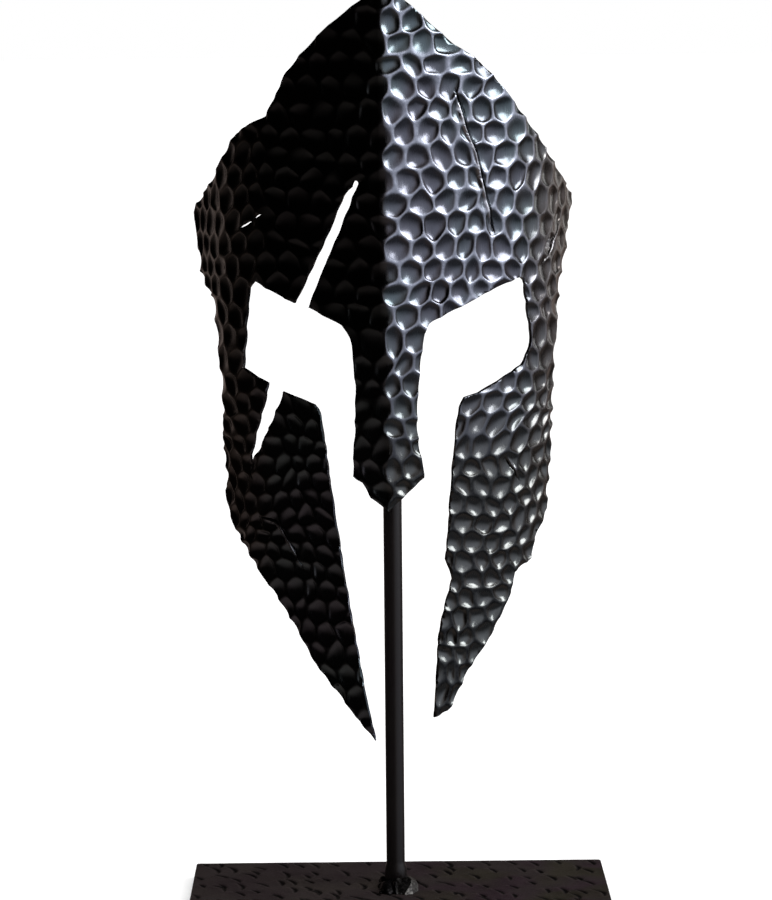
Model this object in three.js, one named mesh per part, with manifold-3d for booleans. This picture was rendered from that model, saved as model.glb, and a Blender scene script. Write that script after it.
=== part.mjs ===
// Hoplite helmet mask on a display stand: one sheet of hammered steel, cut with a T-shaped face
// opening and two long cheek pieces, folded down the middle and rolled back at both sides.
// It is welded to a round post that stands on a rectangular steel plate.
// Millimetres, +Z up. The face looks along -Y. The origin is the centre of the plate's underside.

import * as THREE from 'three';
import { mergeVertices } from 'three/addons/utils/BufferGeometryUtils.js';
import Module from 'manifold-3d';

// ---------------------------------------------------------------- driving dimensions

const meshGap = 0.3; // left between neighbouring pieces

const plateWidth = 225;
const plateDepth = 100;
const plateThickness = 8;
const plateCornerRadius = 2;
const plateEdgeBevel = 0.5;
const plateCornerSteps = 6;

const postDiameter = 10;
const postX = -2;
const postTop = 400;
const postChamfer = 1;
const collarDiameter = 12; // the post is upset a little wider at its foot
const collarTop = 17.5;
const collarShoulder = 2.5;
const roundSegments = 40;

const sheetThickness = 2;
const foldX = -3.5; // the outer edge of the fold, a little to one side of the post
const foldY = -11.5;
const foldLean = THREE.MathUtils.degToRad(22); // each half turns back this much at the fold
const faceRadius = 315; // the gentle curve from the fold to the roll
const rollLean = THREE.MathUtils.degToRad(34); // where the roll starts
const rollRadius = 95;
const wingLean = THREE.MathUtils.degToRad(70); // the straight wings past the roll
const faceSteps = 4;
const rollSteps = 8;
const edgeCurveSteps = 3;

const footWeldReach = 2.6; // out along the plate, from the collar
const footWeldHeight = 3;
const footWeldCrown = 1.8; // reach and height of the middle of its rounded face
const weldLump = { width: 20, depth: 26, height: 6.5 }; // the pool of weld metal before the post
const weldLumpX = 0.5;
const weldLumpY = -17;
const lumpSegments = 24;

const shellWeldBottom = 318;
const shellWeldTop = 392;
const shellWeldReach = 15; // along each half of the sheet, from the fold
const weldLean = THREE.MathUtils.degToRad(24.8); // keeps the weld clear of the curving sheet
const shellWeldBack = 1.5; // how far it wraps behind the middle of the post
const shellWeldFlank = 7; // from the middle of the post to the back of each flank

// ---------------------------------------------------------------- flat pattern of the sheet

// Each point is [across, up]: across the flat sheet from the fold, positive to +X, and up from the
// floor. The stretches run clockwise from the peak as seen from the front, and end to end. A round
// stretch is a curve through its points, any other is straight from point to point.
const outline = [
  { name: 'peak', points: [[0, 494]] },
  { name: 'right crown', round: true, points: [[38, 463], [59, 450], [85, 425], [112, 402], [133, 388]] },
  { name: 'right temple', points: [[154, 377], [153, 371], [145, 361], [145, 350], [133, 333]] },
  { name: 'right side', round: true, points: [[125, 309], [119, 280], [116, 250], [109, 206]] },
  { name: 'right cheek, chipped edge', points: [[103, 198], [96, 191], [93, 180], [79, 174], [76, 163]] },
  { name: 'right cheek, outer edge', round: true, points: [[62, 141], [48, 124], [37, 105]] },
  { name: 'right cheek tip', points: [[34, 102], [26, 99]] },
  { name: 'right cheek, lower inner edge', round: true, points: [[28, 125], [30, 147], [38, 174]] },
  { name: 'right cheek notch', points: [[34, 185]] },
  { name: 'right cheek, inner edge', round: true, points: [[36, 205], [39, 239], [43, 267]] },
  { name: 'right eye, lower edge', points: [[46, 272], [55, 274], [86, 287]] },
  { name: 'right eye, outer edge', round: true, points: [[93, 297], [93, 308], [88, 333]] },
  { name: 'right eye, upper edge', points: [[85, 335], [64, 329], [27, 314]] },
  { name: 'nose guard, right edge', round: true, points: [[22, 308], [18, 281], [17, 258], [20, 236]] },
  { name: 'nose guard tip', points: [[21, 230], [14, 225], [8, 220], [0, 213]] },
  { name: 'nose guard, left foot', points: [[-11, 220], [-16, 228], [-22, 231]] },
  { name: 'nose guard, left edge', round: true, points: [[-20, 262], [-20, 283], [-22, 303], [-27, 312]] },
  { name: 'left eye, inner upper edge', points: [[-48, 321]] },
  { name: 'upper slash, right side', round: true, points: [[-41, 336], [-28, 363], [-17, 388]] },
  { name: 'upper slash, left side', round: true, points: [[-25, 382], [-36, 360], [-50, 335], [-57, 323]] },
  { name: 'left eye, outer upper edge', points: [[-85, 334], [-89, 330]] },
  { name: 'left eye, outer edge', round: true, points: [[-92, 314], [-94, 300], [-95, 286]] },
  { name: 'left eye, lower flap', points: [[-76, 279]] },
  { name: 'lower slash, left side', round: true, points: [[-78, 270], [-86, 250], [-91, 234]] },
  { name: 'lower slash, right side', round: true, points: [[-82, 243], [-71, 262], [-65, 275]] },
  { name: 'left eye, inner lower edge', points: [[-45, 269]] },
  { name: 'left cheek, inner edge', round: true, points: [[-41, 261], [-36, 228], [-27, 173], [-17, 119]] },
  { name: 'left cheek tip', points: [[-10, 88]] },
  { name: 'left cheek, outer edge', round: true, points: [[-29, 109], [-46, 128], [-56, 143], [-71, 163]] },
  { name: 'left cheek, upper outer edge', round: true, points: [[-96, 188], [-110, 203], [-116, 216]] },
  { name: 'left jaw step', points: [[-113, 222]] },
  { name: 'left side', round: true, points: [[-118, 243], [-118, 262], [-123, 290], [-133, 322]] },
  { name: 'left temple', points: [[-144, 327], [-156, 336], [-160, 356], [-165, 367], [-160, 373]] },
  { name: 'left brow', round: true, points: [[-141, 382], [-119, 396], [-100, 413]] },
  { name: 'left crown step', points: [[-86, 419], [-75, 423]] },
  { name: 'left crown', round: true, points: [[-68, 433], [-59, 448], [-34, 471], [0, 494]] },
];

// ---------------------------------------------------------------- the folded and rolled sheet

const faceLength = faceRadius * (rollLean - foldLean);
const rollLength = rollRadius * (wingLean - rollLean);

/** How far out and back an arc of the sheet goes, from one lean to another. */
function arcOf(radius, fromLean, toLean) {
  return {
    out: radius * (Math.sin(toLean) - Math.sin(fromLean)),
    back: radius * (Math.cos(fromLean) - Math.cos(toLean)),
  };
}

/** The sheet's outer face at a reach from the fold: how far out, how far back, and its lean. */
function sectionAt(reach) {
  const faceReach = Math.min(reach, faceLength);
  const rollReach = THREE.MathUtils.clamp(reach - faceLength, 0, rollLength);
  const wing = Math.max(reach - faceLength - rollLength, 0);
  const faceEnd = foldLean + faceReach / faceRadius;
  const lean = faceEnd + rollReach / rollRadius;
  const face = arcOf(faceRadius, foldLean, faceEnd);
  const roll = arcOf(rollRadius, faceEnd, lean);
  const out = face.out + roll.out + wing * Math.cos(wingLean);
  const back = face.back + roll.back + wing * Math.sin(wingLean);
  return { out, back, lean };
}

/** Where a point of the flat sheet comes to: across it, up it, and inward from its outer face. */
function placeOnMask(across, up, inward) {
  if (across === 0) {
    return new THREE.Vector3(foldX, foldY + inward / Math.cos(foldLean), up);
  }
  const { out, back, lean } = sectionAt(Math.abs(across));
  const sideways = out - inward * Math.sin(lean);
  const behind = back + inward * Math.cos(lean);
  return new THREE.Vector3(foldX + Math.sign(across) * sideways, foldY + behind, up);
}

/** The point where an edge crosses a vertical line, the same from whichever end it is worked out. */
function crossing(start, end, line) {
  const [low, high] = start.x < end.x ? [start, end] : [end, start];
  const share = (line - low.x) / (high.x - low.x);
  const point = low.clone().lerp(high, share);
  point.x = line;
  return point;
}

/** Cuts a flat polygon along a vertical line into the parts on each side of it. */
function splitPolygon(polygon, line) {
  const before = [];
  const after = [];
  polygon.forEach((point, index) => {
    const next = polygon[(index + 1) % polygon.length];
    if (point.x <= line) {
      before.push(point);
    }
    if (point.x >= line) {
      after.push(point);
    }
    if ((point.x - line) * (next.x - line) < 0) {
      const cut = crossing(point, next, line);
      before.push(cut);
      after.push(cut);
    }
  });
  const isWhole = (part) => part.length > 2 && part.some((point) => point.x !== line);
  return [before, after].filter(isWhole);
}

/** Splits a geometry's triangles along vertical lines, so that it can bend there. */
function splitAlongLines(geometry, lines) {
  const flat = geometry.index ? geometry.toNonIndexed() : geometry;
  const position = flat.getAttribute('position');
  let polygons = [];
  for (let corner = 0; corner < position.count; corner += 3) {
    polygons.push([0, 1, 2].map((step) => new THREE.Vector3().fromBufferAttribute(position, corner + step)));
  }
  for (const line of lines) {
    polygons = polygons.flatMap((polygon) => splitPolygon(polygon, line));
  }
  const points = [];
  for (const polygon of polygons) {
    for (let corner = 1; corner < polygon.length - 1; corner += 1) {
      points.push(polygon[0], polygon[corner], polygon[corner + 1]);
    }
  }
  return new THREE.BufferGeometry().setFromPoints(points);
}

/** The flat pattern as one closed shape. */
function patternShape() {
  const shape = new THREE.Shape();
  const [first, ...stretches] = outline;
  shape.moveTo(...first.points[0]);
  for (const { round, points } of stretches) {
    if (round) {
      shape.splineThru(points.map(([across, up]) => new THREE.Vector2(across, up)));
    } else {
      points.forEach(([across, up]) => shape.lineTo(across, up));
    }
  }
  return shape;
}

/** The mask: the flat pattern with its thickness, creased at the fold and rolled at the sides. */
function helmetShellGeometry() {
  const blank = new THREE.ExtrudeGeometry(patternShape(), {
    depth: sheetThickness,
    bevelEnabled: false,
    curveSegments: edgeCurveSteps,
  });
  const bends = [];
  for (let step = 1; step <= faceSteps; step += 1) {
    bends.push((faceLength * step) / faceSteps);
  }
  for (let step = 1; step <= rollSteps; step += 1) {
    bends.push(faceLength + (rollLength * step) / rollSteps);
  }
  const bendLines = [0, ...bends, ...bends.map((line) => -line)];
  const shell = splitAlongLines(blank, bendLines);
  const position = shell.getAttribute('position');
  for (let index = 0; index < position.count; index += 1) {
    const inward = sheetThickness - position.getZ(index);
    const place = placeOnMask(position.getX(index), position.getY(index), inward);
    position.setXYZ(index, place.x, place.y, place.z);
  }
  return mergeVertices(shell);
}

// ---------------------------------------------------------------- the stand

/** A profile of [radius, height] points turned round the Z axis. */
function turned(profile) {
  const points = profile.map(([radius, height]) => new THREE.Vector2(radius, height));
  return new THREE.LatheGeometry(points, roundSegments).rotateX(Math.PI / 2);
}

/** The plate: a rectangle with small rounded corners, its edges eased. */
function basePlateGeometry() {
  const halfWidth = plateWidth / 2 - plateEdgeBevel;
  const halfDepth = plateDepth / 2 - plateEdgeBevel;
  const radius = plateCornerRadius;
  const shape = new THREE.Shape();
  shape.absarc(halfWidth - radius, halfDepth - radius, radius, 0, Math.PI / 2);
  shape.absarc(-halfWidth + radius, halfDepth - radius, radius, Math.PI / 2, Math.PI);
  shape.absarc(-halfWidth + radius, -halfDepth + radius, radius, Math.PI, Math.PI * 1.5);
  shape.absarc(halfWidth - radius, -halfDepth + radius, radius, Math.PI * 1.5, Math.PI * 2);
  const plate = new THREE.ExtrudeGeometry(shape, {
    depth: plateThickness - 2 * plateEdgeBevel,
    bevelSize: plateEdgeBevel,
    bevelThickness: plateEdgeBevel,
    bevelSegments: 1,
    curveSegments: plateCornerSteps,
  });
  return plate.translate(0, 0, plateEdgeBevel);
}

/** The post: a round bar with a collar at its foot and a small chamfer round its top end. */
function postGeometry() {
  const radius = postDiameter / 2;
  const foot = plateThickness + meshGap;
  return turned([
    [0, foot],
    [collarDiameter / 2, foot],
    [collarDiameter / 2, collarTop],
    [radius, collarTop + collarShoulder],
    [radius, postTop - postChamfer],
    [radius - postChamfer, postTop],
    [0, postTop],
  ]);
}

// ---------------------------------------------------------------- the welds

const wasm = await Module();
wasm.setup();

/** A closed geometry as a solid that can be cut. */
function asSolid(geometry) {
  const bare = new THREE.BufferGeometry();
  bare.setIndex(geometry.index);
  bare.setAttribute('position', geometry.getAttribute('position'));
  const merged = mergeVertices(bare);
  const mesh = new wasm.Mesh({
    numProp: 3,
    vertProperties: Float32Array.from(merged.getAttribute('position').array),
    triVerts: Uint32Array.from(merged.index.array),
  });
  return new wasm.Manifold(mesh);
}

/** A cut solid's triangles as a geometry again. */
function asGeometry(solid) {
  const mesh = solid.getMesh();
  const geometry = new THREE.BufferGeometry();
  geometry.setAttribute('position', new THREE.BufferAttribute(mesh.vertProperties, 3));
  geometry.setIndex(new THREE.BufferAttribute(mesh.triVerts, 1));
  return geometry;
}

/** The weld at the post's foot: a low ring round the collar that runs out into a lump before it. */
function footWeldGeometry() {
  const radius = collarDiameter / 2 + meshGap;
  const foot = plateThickness + meshGap;
  const ring = turned([
    [0, foot],
    [radius + footWeldReach, foot],
    [radius + footWeldCrown, foot + footWeldCrown],
    [radius, foot + footWeldHeight],
    [0, foot + footWeldHeight],
  ]);
  ring.translate(postX, 0, 0);
  const lump = new THREE.SphereGeometry(1, lumpSegments, lumpSegments / 2);
  lump.scale(weldLump.width / 2, weldLump.depth / 2, weldLump.height);
  lump.translate(weldLumpX, weldLumpY, foot);
  const pool = asSolid(lump).trimByPlane([0, 0, 1], foot);
  const clearance = new THREE.CylinderGeometry(radius, radius, 2 * collarTop, roundSegments);
  clearance.rotateX(Math.PI / 2);
  clearance.translate(postX, 0, collarTop);
  return asGeometry(asSolid(ring).add(pool).subtract(asSolid(clearance)));
}

/** The weld between the post and both halves of the sheet, filling the corner behind the fold. */
function shellWeldGeometry() {
  const apex = new THREE.Vector2(foldX, foldY + (sheetThickness + meshGap) / Math.cos(foldLean));
  const spread = new THREE.Vector2(Math.cos(weldLean), Math.sin(weldLean)).multiplyScalar(shellWeldReach);
  const plan = new THREE.Shape([
    apex,
    new THREE.Vector2(apex.x + spread.x, apex.y + spread.y),
    new THREE.Vector2(postX + shellWeldFlank, shellWeldBack),
    new THREE.Vector2(postX - shellWeldFlank, shellWeldBack),
    new THREE.Vector2(apex.x - spread.x, apex.y + spread.y),
  ]);
  const height = shellWeldTop - shellWeldBottom;
  const block = new THREE.ExtrudeGeometry(plan, { depth: height, bevelEnabled: false });
  block.translate(0, 0, shellWeldBottom);
  const boreRadius = postDiameter / 2 + meshGap;
  const boreLength = 2 * height; // well past both ends of the block
  const clearance = new THREE.CylinderGeometry(boreRadius, boreRadius, boreLength, roundSegments);
  clearance.rotateX(Math.PI / 2);
  clearance.translate(postX, 0, (shellWeldTop + shellWeldBottom) / 2);
  return asGeometry(asSolid(block).subtract(asSolid(clearance)));
}

// ---------------------------------------------------------------- finishes and assembly

const hammeredSteel = { color: 0x2b2d33, roughness: 0.3, metalness: 0.9 };
const blackPaint = { color: 0x121214, roughness: 0.45, metalness: 0.1 };
const blackenedWeld = { color: 0x2a2a2c, roughness: 0.4, metalness: 0.8 };

/** One named piece with a material of its own. */
function piece(name, geometry, finish) {
  const mesh = new THREE.Mesh(geometry, new THREE.MeshStandardMaterial(finish));
  mesh.name = name;
  return mesh;
}

const basePlate = piece('base_plate', basePlateGeometry(), blackPaint);

const post = piece('post', postGeometry(), blackPaint);
post.position.x = postX;

const footWeld = piece('foot_weld', footWeldGeometry(), blackenedWeld);

const shellWeld = piece('shell_weld', shellWeldGeometry(), blackenedWeld);

const helmetShell = piece('helmet_shell', helmetShellGeometry(), hammeredSteel);

const helmetOnStand = new THREE.Group();
helmetOnStand.add(basePlate, post, footWeld, shellWeld, helmetShell);

export default helmetOnStand;
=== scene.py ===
"""A hoplite helmet mask of hammered steel on its display stand, built round the CAD frame.

Metres, +Z up, the face looks along -Y. The hammered sheet is modelled flat, as the smith has it on
the bench, then cut to the blank and scored, and only then folded down the middle and rolled back.
"""

import logging
import math
from dataclasses import dataclass, field
from enum import Enum
from typing import Sequence

import bmesh
import bpy
import numpy as np
from bpy.types import Material, Node, NodeSocket, NodeTree, Object
from mathutils import Matrix, Vector, noise
from mathutils.bvhtree import BVHTree


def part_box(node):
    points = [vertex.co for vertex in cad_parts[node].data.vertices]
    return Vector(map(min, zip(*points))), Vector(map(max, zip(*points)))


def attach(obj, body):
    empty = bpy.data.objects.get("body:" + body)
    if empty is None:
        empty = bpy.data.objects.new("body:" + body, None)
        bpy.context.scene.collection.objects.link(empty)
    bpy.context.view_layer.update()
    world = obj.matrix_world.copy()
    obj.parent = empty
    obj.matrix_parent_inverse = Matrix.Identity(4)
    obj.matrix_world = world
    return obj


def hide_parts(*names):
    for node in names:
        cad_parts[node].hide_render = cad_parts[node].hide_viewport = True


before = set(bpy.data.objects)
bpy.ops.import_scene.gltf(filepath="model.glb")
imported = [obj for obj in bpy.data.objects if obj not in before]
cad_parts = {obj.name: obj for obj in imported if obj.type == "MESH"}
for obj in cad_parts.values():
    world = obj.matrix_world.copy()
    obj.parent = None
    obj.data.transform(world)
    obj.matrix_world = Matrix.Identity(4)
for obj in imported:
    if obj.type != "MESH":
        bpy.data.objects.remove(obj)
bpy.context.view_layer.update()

BODY = "root"
MM = 0.001
SPECK = 0.01 * MM  # corners closer together than this are one corner

log = logging.getLogger("helmet")
noise.seed_set(11)  # without this the noise differs from run to run

Pair = tuple[float, float]
Triple = tuple[float, float, float]


class Slot(Enum):
    """The record's material slots."""

    HAMMERED_STEEL = "hammered_steel"
    STAND_PAINT = "stand_paint"
    WELD_METAL = "weld_metal"


# ------------------------------------------------------------------ modelling helpers


def deselect_all() -> None:
    """Leaves nothing selected in object mode."""
    bpy.ops.object.select_all(action="DESELECT")


def make_active(thing: Object) -> None:
    """Selects one object alone and makes it the active one.

    Args:
        thing: The object.
    """
    deselect_all()
    thing.select_set(True)
    bpy.context.view_layer.objects.active = thing


def edit(thing: Object, everything: bool = True) -> None:
    """Opens a mesh in edit mode.

    Args:
        thing: The mesh object.
        everything: Whether all of it starts selected, or none of it.
    """
    make_active(thing)
    bpy.ops.object.mode_set(mode="EDIT")
    bpy.ops.mesh.select_all(action="SELECT" if everything else "DESELECT")


def leave_edit() -> None:
    """Goes back to object mode."""
    bpy.ops.object.mode_set(mode="OBJECT")


def face_outwards() -> None:
    """Turns all faces of the closed mesh in edit mode to the outside."""
    bpy.ops.mesh.select_all(action="SELECT")
    bpy.ops.mesh.normals_make_consistent(inside=False)


def merge(thing: Object, gap: float) -> None:
    """Makes one corner of corners that lie together.

    Args:
        thing: The mesh object.
        gap: How far apart they may be.
    """
    edit(thing)
    bpy.ops.mesh.remove_doubles(threshold=gap)
    leave_edit()


def smooth(thing: Object, degrees: float) -> None:
    """Shades a mesh smooth, except across its sharp edges.

    Args:
        thing: The mesh object.
        degrees: How far an edge has to turn to stay sharp.
    """
    make_active(thing)
    bpy.ops.object.shade_smooth_by_angle(angle=math.radians(degrees))


def apply_modifier(thing: Object, kind: str, **settings: object) -> None:
    """Adds a modifier with its settings and applies it.

    Args:
        thing: The object that gets it.
        kind: The modifier's type.
        **settings: Its properties and their values.
    """
    make_active(thing)
    modifier = thing.modifiers.new(kind.title(), kind)
    for name, value in settings.items():
        setattr(modifier, name, value)
    bpy.ops.object.modifier_apply(modifier=modifier.name)


def repeat(thing: Object, count: int, step: Triple) -> None:
    """Repeats a mesh in a row.

    Args:
        thing: The mesh object.
        count: How many there are in the end.
        step: From each one to the next.
    """
    apply_modifier(
        thing,
        "ARRAY",
        count=count,
        use_relative_offset=False,
        use_constant_offset=True,
        constant_offset_displace=step,
    )


def copy_node(node: str) -> Object:
    """Copies a CAD node's mesh into a new object and joins up its loose triangles.

    Args:
        node: The CAD node's name.

    Returns:
        The new object.
    """
    copy = bpy.data.objects.new(node + "_copy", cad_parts[node].data.copy())
    bpy.context.scene.collection.objects.link(copy)
    merge(copy, SPECK / 10)
    return copy


def join(things: Sequence[Object]) -> Object:
    """Joins objects into the first of them.

    Args:
        things: The mesh objects.

    Returns:
        The first of them, which now holds all.
    """
    deselect_all()
    for thing in things:
        thing.select_set(True)
    bpy.context.view_layer.objects.active = things[0]
    bpy.ops.object.join()
    return things[0]


def read_rows(items: Sequence, name: str) -> np.ndarray:
    """Reads a vector of every vertex, face or normal of a mesh.

    Args:
        items: The mesh's collection of them.
        name: The vector's name there.

    Returns:
        Rows of x, y, z.
    """
    rows = np.empty(len(items) * 3)
    items.foreach_get(name, rows)
    return rows.reshape(-1, 3)


def get_points(thing: Object) -> np.ndarray:
    """A mesh's vertices as rows of x, y, z."""
    return read_rows(thing.data.vertices, "co")


def set_points(thing: Object, points: np.ndarray) -> None:
    """Moves a mesh's vertices to rows of x, y, z."""
    thing.data.vertices.foreach_set("co", points.ravel())
    thing.data.update()


def edit_faces(thing: Object, wanted: np.ndarray) -> None:
    """Opens a mesh in edit mode with some of its faces selected, and nothing else.

    Args:
        thing: The mesh object, in object mode.
        wanted: For each face, whether it is selected.
    """
    edit(thing, everything=False)
    bpy.ops.mesh.select_mode(type="FACE")
    mesh = bmesh.from_edit_mesh(thing.data)
    mesh.faces.ensure_lookup_table()
    for index in np.flatnonzero(wanted):
        mesh.faces[index].select = True
    mesh.select_flush(True)
    bmesh.update_edit_mesh(thing.data)


def smoothstep(low: float, high: float, values: np.ndarray) -> np.ndarray:
    """Eases values from 0 at low to 1 at high.

    Args:
        low: Where the result starts to leave 0.
        high: Where it has reached 1.
        values: What is eased.

    Returns:
        The eased values.
    """
    share = np.clip((values - low) / (high - low), 0.0, 1.0)
    return share * share * (3.0 - 2.0 * share)


def waver(point: np.ndarray, broad: float, fine: float, fine_share: float) -> float:
    """Broad noise with finer noise on it, which depends only on the place.

    Args:
        point: The place.
        broad: The size of its broad swells.
        fine: The size of its fine ones.
        fine_share: The height of the fine ones as a share of the broad ones'.

    Returns:
        About -1 to 1.
    """
    swell = noise.noise(Vector(point) / broad)
    return swell + fine_share * noise.noise(Vector(point) / fine)


def distance_to_path(points: np.ndarray, path: Sequence[Pair]) -> tuple[np.ndarray, np.ndarray]:
    """How far points lie from a path of straight stretches, and on which side of it.

    Args:
        points: Rows whose first two columns are measured.
        path: The path's corners.

    Returns:
        The distance of each point, and the signed offset to the left of its nearest stretch.
    """
    best = np.full(len(points), np.inf)
    side = np.zeros(len(points))
    corners = np.asarray(path, dtype=float)
    for start, end in zip(corners[:-1], corners[1:]):
        along = end - start
        length = np.hypot(*along)
        away = points[:, :2] - start
        share = np.clip(away @ along / length**2, 0.0, 1.0)
        gap = np.hypot(*(away - share[:, None] * along).T)
        left = (along[0] * away[:, 1] - along[1] * away[:, 0]) / length
        nearer = gap < best
        best[nearer] = gap[nearer]
        side[nearer] = left[nearer]
    return best, side


def write_attribute(thing: Object, name: str, values: np.ndarray) -> None:
    """Stores one number for each vertex of a mesh under a name."""
    layer = thing.data.attributes.new(name, "FLOAT", "POINT")
    layer.data.foreach_set("value", values.astype(np.float32))


def box(node: str) -> tuple[np.ndarray, np.ndarray]:
    """A CAD node's lowest and highest corners."""
    low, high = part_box(node)
    return np.array(low), np.array(high)


def hand_over(thing: Object, name: str, node: str) -> None:
    """Names a finished piece, lets it ride on the body and stand for its CAD node.

    Args:
        thing: The finished piece.
        name: Its name.
        node: The CAD node that it replaces.
    """
    thing.name = thing.data.name = name
    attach(thing, BODY)
    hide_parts(node)
    log.info("%s: %d faces", name, len(thing.data.polygons))


# ------------------------------------------------------------------ the hammered sheet


@dataclass(frozen=True)
class FoldedSection:
    """The plan section that the flat sheet is folded and rolled to.

    Each half leans back at the fold, curves gently over the face, rolls round the temple, and runs
    straight back past it. A flat point is (across the sheet, up it, out of its outer face).
    """

    fold_x: float = -3.5 * MM
    fold_y: float = -11.5 * MM
    fold_lean: float = math.radians(22)
    face_radius: float = 315 * MM
    roll_lean: float = math.radians(34)
    roll_radius: float = 95 * MM
    wing_lean: float = math.radians(70)
    crease: float = 0.6 * MM  # half the width of the fold's rounded edge
    crease_lean: float = math.radians(20)  # the lean just past that edge
    ease: float = 7 * MM  # how far from the fold the lean has come up to the face's
    nose: float = 225 * MM  # the height of the crease's foot
    crown: float = 494 * MM  # and of its top
    nose_slip: float = 0.9 * MM  # how far left of the middle the crease runs at its foot
    crown_slip: float = 2.2 * MM  # and at its top
    slip_reach: float = 32 * MM  # the sheet gives way to either side over about this much
    bend_steps: int = 200  # the fold's rounding is followed in this many steps

    @property
    def face_length(self) -> float:
        """Across the sheet from the fold to where the roll starts."""
        return self.face_radius * (self.roll_lean - self.fold_lean)

    @property
    def roll_length(self) -> float:
        """Across the sheet from the start of the roll to its end."""
        return self.roll_radius * (self.wing_lean - self.roll_lean)

    def outer_face(self, reach: np.ndarray) -> tuple[np.ndarray, np.ndarray, np.ndarray]:
        """Follows the outer face away from the fold.

        Args:
            reach: Distances across the sheet from the fold.

        Returns:
            How far out to the side and how far back each one comes, and the sheet's lean there.
        """
        face = np.minimum(reach, self.face_length)
        roll = np.clip(reach - self.face_length, 0.0, self.roll_length)
        wing = np.maximum(reach - self.face_length - self.roll_length, 0.0)
        face_end = self.fold_lean + face / self.face_radius
        lean = face_end + roll / self.roll_radius
        out = self.face_radius * (np.sin(face_end) - math.sin(self.fold_lean))
        out += self.roll_radius * (np.sin(lean) - np.sin(face_end))
        out += wing * math.cos(self.wing_lean)
        back = self.face_radius * (math.cos(self.fold_lean) - np.cos(face_end))
        back += self.roll_radius * (np.cos(face_end) - np.cos(lean))
        back += wing * math.sin(self.wing_lean)
        return out, back, lean

    def fold(self, flat: np.ndarray) -> np.ndarray:
        """Folds and rolls flat points to their places on the mask.

        Args:
            flat: Rows of across, up and out of the outer face.

        Returns:
            Rows of x, y and z.
        """
        slip = np.interp(
            flat[:, 1], (self.nose, self.crown), (self.nose_slip, self.crown_slip)
        )
        slip *= np.exp(-((flat[:, 0] / self.slip_reach) ** 2))
        across = flat[:, 0] + slip
        reach, inward = np.abs(across), -flat[:, 2]
        out, back, lean = self.outer_face(reach)
        end_out, end_back, end_lean = (part[0] for part in self.outer_face(np.array([self.ease])))
        steps = np.linspace(0.0, self.ease, self.bend_steps)
        bend = np.interp(steps, (0.0, self.crease, self.ease), (0.0, self.crease_lean, end_lean))
        run_out = np.concatenate([[0.0], np.cumsum(np.cos(bend[1:]) * np.diff(steps))])
        run_back = np.concatenate([[0.0], np.cumsum(np.sin(bend[1:]) * np.diff(steps))])
        near = reach < self.ease
        lean[near] = np.interp(reach[near], steps, bend)
        out[near] = np.interp(reach[near], steps, run_out) * end_out / run_out[-1]
        back[near] = np.interp(reach[near], steps, run_back) + end_back - run_back[-1]
        x = self.fold_x - slip + np.sign(across) * (out - inward * np.sin(lean))
        y = self.fold_y + back + inward * np.cos(lean)
        return np.column_stack([x, y, flat[:, 1]])

    def unfold(self, points: np.ndarray) -> np.ndarray:
        """Opens points of the mask out flat again, which is fold() the other way round.

        Args:
            points: Rows of x, y and z.

        Returns:
            Rows of across, up and out of the outer face.
        """
        side = np.where(points[:, 0] < self.fold_x, -1.0, 1.0)
        out = np.abs(points[:, 0] - self.fold_x)
        back = points[:, 1] - self.fold_y
        centre_out = -self.face_radius * math.sin(self.fold_lean)
        centre_back = self.face_radius * math.cos(self.fold_lean)
        lean = np.arctan2(out - centre_out, centre_back - back)
        reach = self.face_radius * (lean - self.fold_lean)
        inward = self.face_radius - np.hypot(out - centre_out, back - centre_back)
        ends = np.array([self.face_length, self.face_length + self.roll_length])
        (roll_out, wing_out), (roll_back, wing_back), _ = self.outer_face(ends)
        centre_out = roll_out - self.roll_radius * math.sin(self.roll_lean)
        centre_back = roll_back + self.roll_radius * math.cos(self.roll_lean)
        rolled = lean > self.roll_lean
        lean = np.where(rolled, np.arctan2(out - centre_out, centre_back - back), lean)
        roll_reach = self.face_length + self.roll_radius * (lean - self.roll_lean)
        roll_inward = self.roll_radius - np.hypot(out - centre_out, back - centre_back)
        reach = np.where(rolled, roll_reach, reach)
        inward = np.where(rolled, roll_inward, inward)
        winged = rolled & (lean > self.wing_lean)
        cosine, sine = math.cos(self.wing_lean), math.sin(self.wing_lean)
        along = (out - wing_out) * cosine + (back - wing_back) * sine
        across_wall = (back - wing_back) * cosine - (out - wing_out) * sine
        reach = np.where(winged, ends[1] + along, reach)
        inward = np.where(winged, across_wall, inward)
        on_fold = out < SPECK
        reach = np.where(on_fold, 0.0, reach)
        inward = np.where(on_fold, back * math.cos(self.fold_lean), inward)
        return np.column_stack([side * reach, points[:, 2], -inward])


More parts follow.
